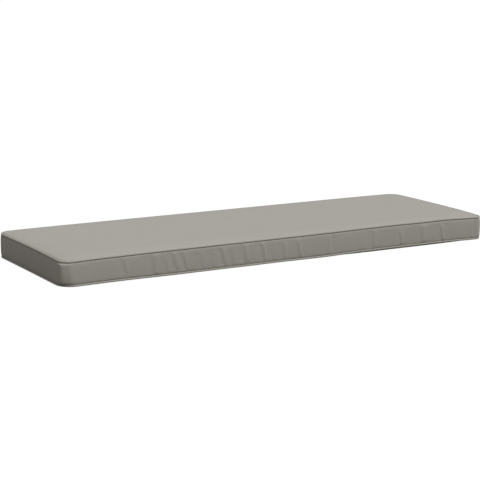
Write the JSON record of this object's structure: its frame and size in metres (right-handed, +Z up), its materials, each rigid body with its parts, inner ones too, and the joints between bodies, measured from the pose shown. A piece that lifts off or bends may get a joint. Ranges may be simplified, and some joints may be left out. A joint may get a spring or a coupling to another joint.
{
  "type": "bench cushion",
  "caption": "Long box-edge bench cushion in plain woven cloth, with a gently crowned top, a creased boxing strip and piped upper and lower seams.",
  "frame": {"origin": "middle of the underside, on the surface that the cushion rests on", "axes": "+X along the long side, +Y from the front to the back, +Z up through the crown"},
  "size_m": [1.5, 0.5, 0.085],
  "materials": {
    "panel_cloth": "matt plain weave",
    "boxing_cloth": "matt plain weave",
    "piping_cloth": "matt plain weave cut on the bias"
  },
  "bodies": {
    "root": {"cushion": "panel_cloth", "boxing": "boxing_cloth", "top_piping": "piping_cloth", "bottom_piping": "piping_cloth"}
  },
  "joints": []
}
